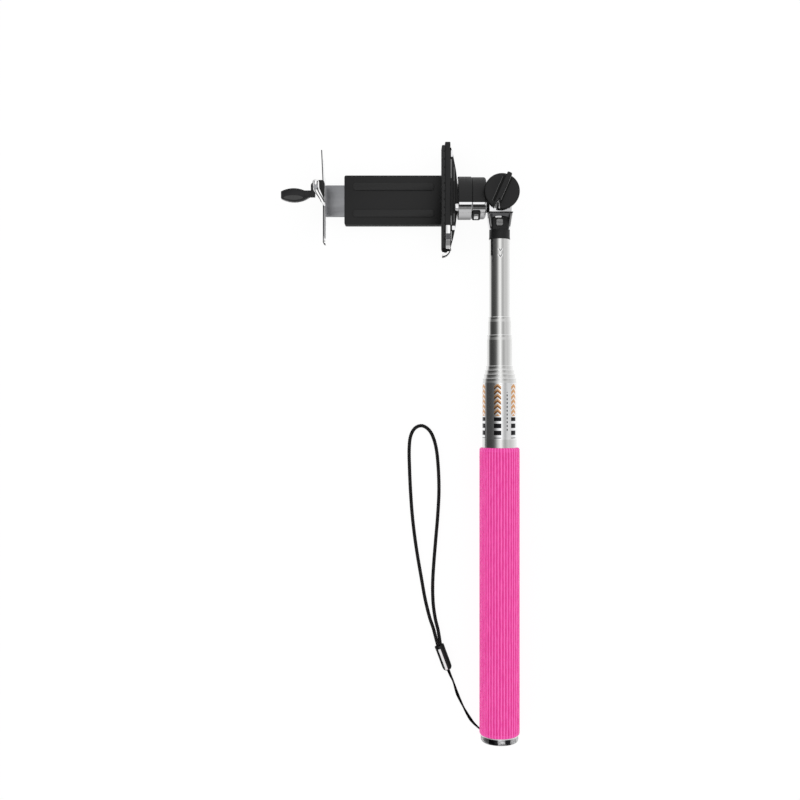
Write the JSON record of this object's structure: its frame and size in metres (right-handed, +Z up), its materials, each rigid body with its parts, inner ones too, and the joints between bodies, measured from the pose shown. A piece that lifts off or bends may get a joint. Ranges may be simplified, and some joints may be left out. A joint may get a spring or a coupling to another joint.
{
  "type": "telescoping phone pole",
  "caption": "Telescoping steel hand pole with a ribbed pink grip, wrist strap and a tilting clamp that holds a phone between two jaws.",
  "frame": {"origin": "middle of the outline without the wrist strap, on the surface that the pole lies on", "axes": "+Y along the pole from the handle to the head, +Z up from the surface towards the user's side of the phone, the holder reaches out along -X"},
  "size_m": [0.1194, 0.301, 0.0277],
  "materials": {
    "tube_steel": "polished stainless steel",
    "grip_rubber": "matte ribbed rubber",
    "chrome": "bright chrome plate",
    "black_plastic": "matte moulded",
    "cover_plastic": "matte with fine turned lines",
    "gloss_black": "glossy",
    "label_film": "printed film",
    "cord": "braided",
    "plain_steel": "plated",
    "dark_steel": "black painted",
    "brass": "turned",
    "black_rubber": "matte",
    "grey_rubber": "matte"
  },
  "bodies": {
    "handle": {"outer_tube": "tube_steel", "grip_sleeve": "grip_rubber", "end_cap": "chrome", "cap_plug": "black_plastic", "strap_pin": "plain_steel", "label_film": "label_film", "strap_thread": "cord", "strap_bead": "gloss_black", "strap_loop": "cord"},
    "pole_2": {"tube_2": "tube_steel", "bush_2": "brass"},
    "pole_3": {"tube_3": "tube_steel", "bush_3": "brass"},
    "pole_4": {"tube_4": "tube_steel", "bush_4": "brass"},
    "pole_5": {"tube_5": "tube_steel", "bush_5": "brass"},
    "pole_6": {"tube_6": "tube_steel", "bush_6": "brass"},
    "pole_7": {"tube_7": "tube_steel", "bush_7": "brass", "top_collar": "black_plastic", "collar_screw": "chrome", "clevis": "chrome", "tilt_washers": "black_plastic", "pivot_bolt": "plain_steel"},
    "knob": {"knob_body": "black_plastic", "knob_insert": "brass"},
    "head": {"tilt_knuckle": "black_plastic", "swivel_screw": "plain_steel", "neck_washer": "black_plastic"},
    "neck_ring": {"lock_ring": "chrome", "ring_grip": "cover_plastic", "ring_lug": "black_plastic"},
    "holder": {"holder_foot": "chrome", "foot_cover": "cover_plastic", "foot_insert": "brass", "foot_pin": "chrome", "bow_back": "black_plastic", "jaw_plate": "black_plastic", "jaw_pad": "black_rubber", "jaw_hook": "chrome", "rail_housing": "black_plastic", "rail_cover": "black_plastic", "rail_screws": "plain_steel", "rest_strips": "black_rubber"},
    "sliding_jaw": {"slide_tongue": "plain_steel", "slide_plate": "dark_steel", "slide_liner": "grey_rubber", "pivot_post": "black_plastic", "lever_pin": "plain_steel"},
    "lever": {"cam_link": "chrome", "lever_arm": "gloss_black"}
  },
  "joints": [
    {"name": "pole_slide_2", "type": "slide", "parent": "handle", "child": "pole_2", "axis": [0, 1, 0], "range_m": [0, 0.1425]},
    {"name": "pole_slide_3", "type": "slide", "parent": "pole_2", "child": "pole_3", "axis": [0, 1, 0], "range_m": [0, 0.1425]},
    {"name": "pole_slide_4", "type": "slide", "parent": "pole_3", "child": "pole_4", "axis": [0, 1, 0], "range_m": [0, 0.1425]},
    {"name": "pole_slide_5", "type": "slide", "parent": "pole_4", "child": "pole_5", "axis": [0, 1, 0], "range_m": [-0.0134, 0.1291]},
    {"name": "pole_slide_6", "type": "slide", "parent": "pole_5", "child": "pole_6", "axis": [0, 1, 0], "range_m": [-0.007, 0.1355]},
    {"name": "pole_slide_7", "type": "slide", "parent": "pole_6", "child": "pole_7", "axis": [0, 1, 0], "range_m": [-0.039, 0.1035]},
    {"name": "knob_turn", "type": "hinge", "parent": "pole_7", "child": "knob", "pos_m": [0.0496, 0.12445, 0.0108], "axis": [0, 0, 1], "range_deg": [0, 360]},
    {"name": "head_tilt", "type": "hinge", "parent": "pole_7", "child": "head", "pos_m": [0.0496, 0.12445, 0.0108], "axis": [0, 0, 1], "range_deg": [-180, 0]},
    {"name": "ring_turn", "type": "hinge", "parent": "head", "child": "neck_ring", "pos_m": [0.0396, 0.12325, 0.0108], "axis": [1, 0, 0], "range_deg": [0, 60]},
    {"name": "holder_swivel", "type": "hinge", "parent": "head", "child": "holder", "pos_m": [0.0316, 0.12325, 0.0108], "axis": [1, 0, 0], "continuous": true},
    {"name": "jaw_slide", "type": "slide", "parent": "holder", "child": "sliding_jaw", "axis": [-1, 0, 0], "range_m": [-0.008, 0.027]},
    {"name": "lever_swing", "type": "hinge", "parent": "sliding_jaw", "child": "lever", "pos_m": [-0.0425, 0.12755, 0.0178], "axis": [0, 0, 1], "range_deg": [-90, 0]}
  ]
}
